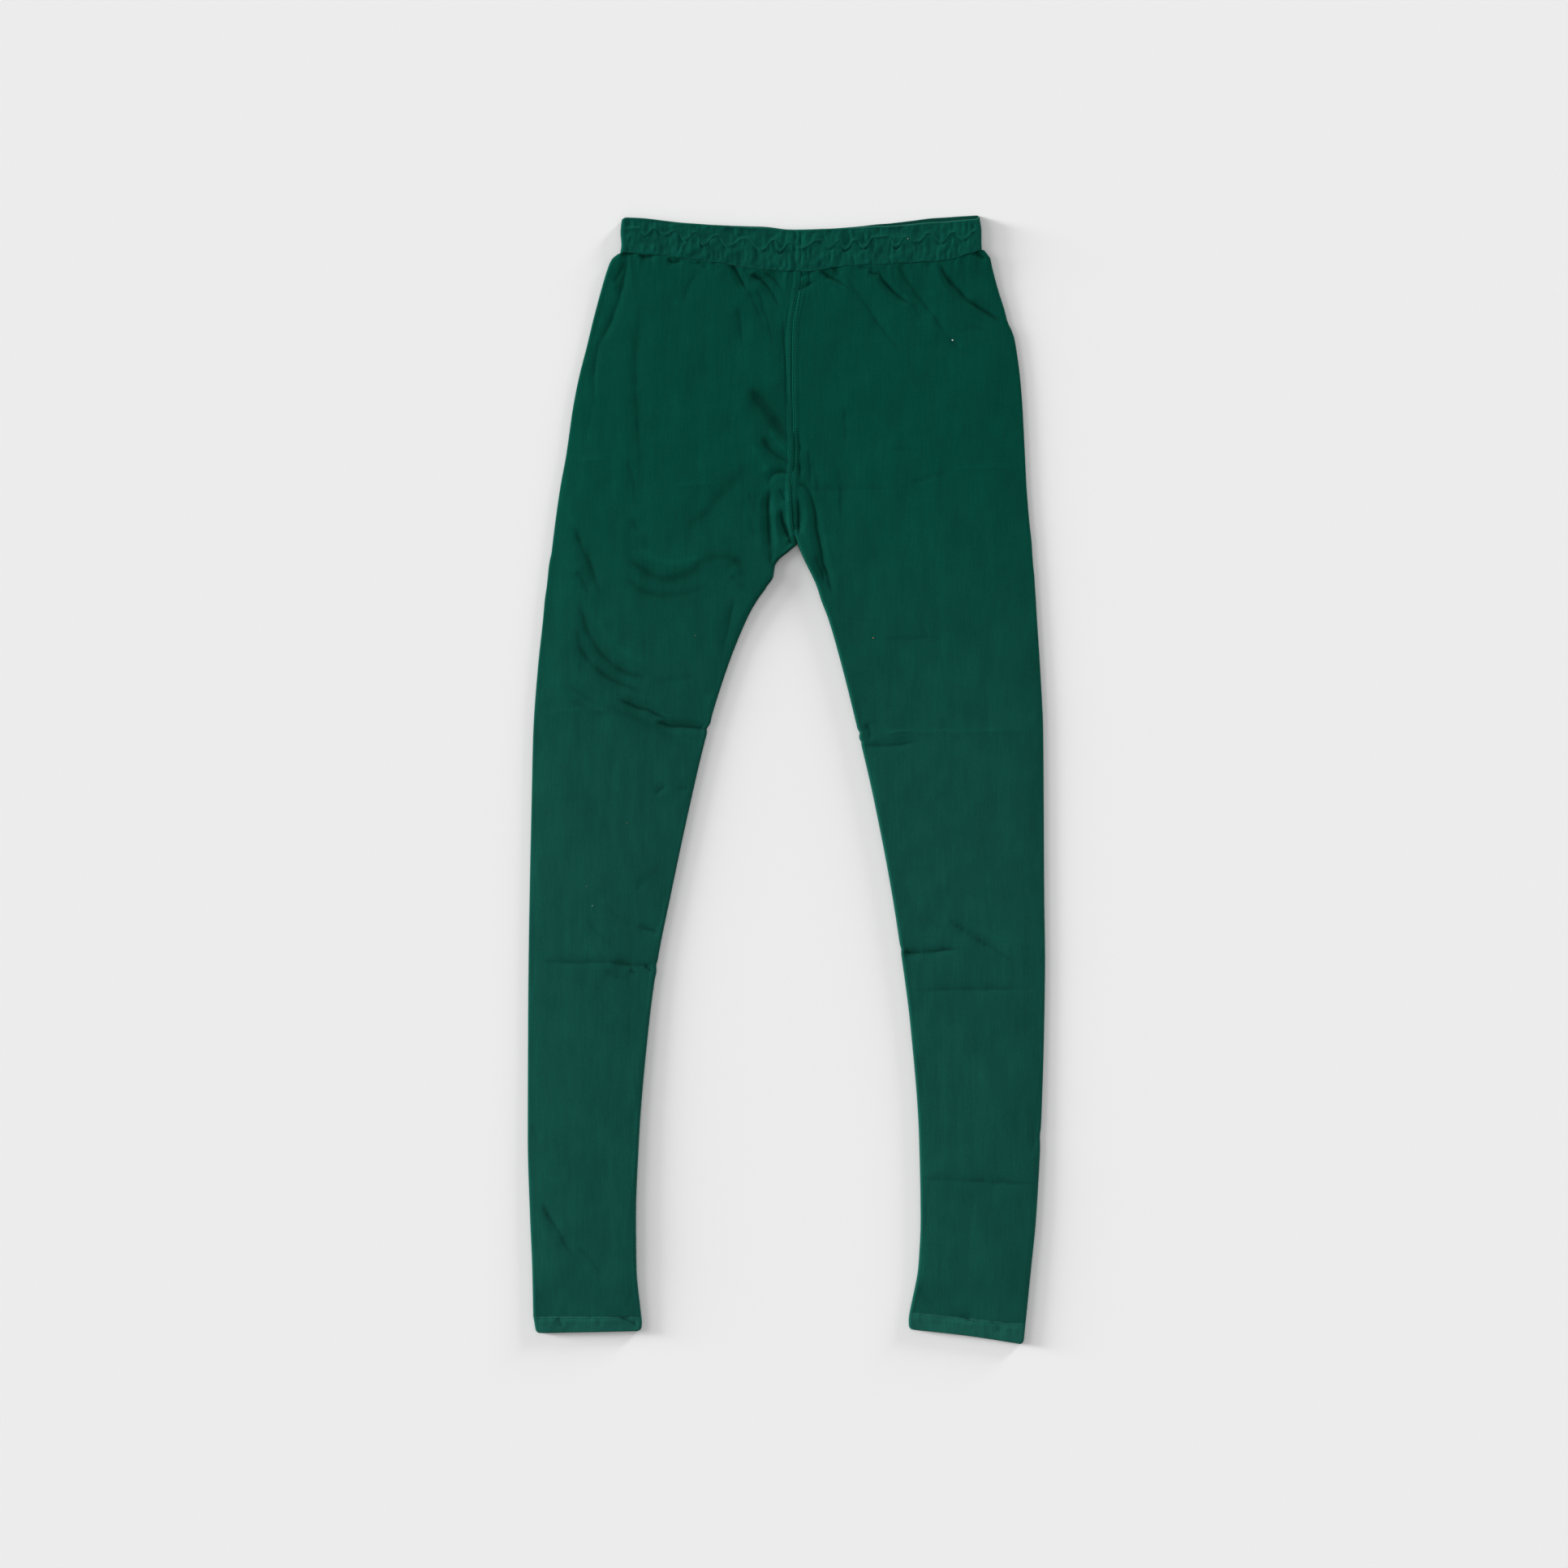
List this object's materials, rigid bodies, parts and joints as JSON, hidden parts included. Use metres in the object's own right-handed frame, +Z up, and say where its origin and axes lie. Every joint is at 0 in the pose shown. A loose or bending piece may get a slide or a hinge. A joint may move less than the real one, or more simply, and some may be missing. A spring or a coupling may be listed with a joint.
{
  "type": "churidar pants",
  "caption": "Churidar pants laid flat: two one-piece leg panels with narrow ankles, a gathered elastic waistband and turned hems.",
  "frame": {"origin": "middle of the bounding box's base, on the surface that the garment lies on", "axes": "+X is the wearer's left, +Y points to the waist, +Z points up out of the garment's front"},
  "size_m": [0.4976, 1.0854, 0.0069],
  "materials": {
    "leg_jersey": "dark green cotton and elastane jersey, matt",
    "waistband_jersey": "the same jersey, gathered over elastic",
    "hem_jersey": "the same jersey, turned and stitched"
  },
  "bodies": {
    "root": {"leg_panel_right": "leg_jersey", "leg_panel_left": "leg_jersey", "waistband": "waistband_jersey", "hem_right": "hem_jersey", "hem_left": "hem_jersey"}
  },
  "joints": []
}
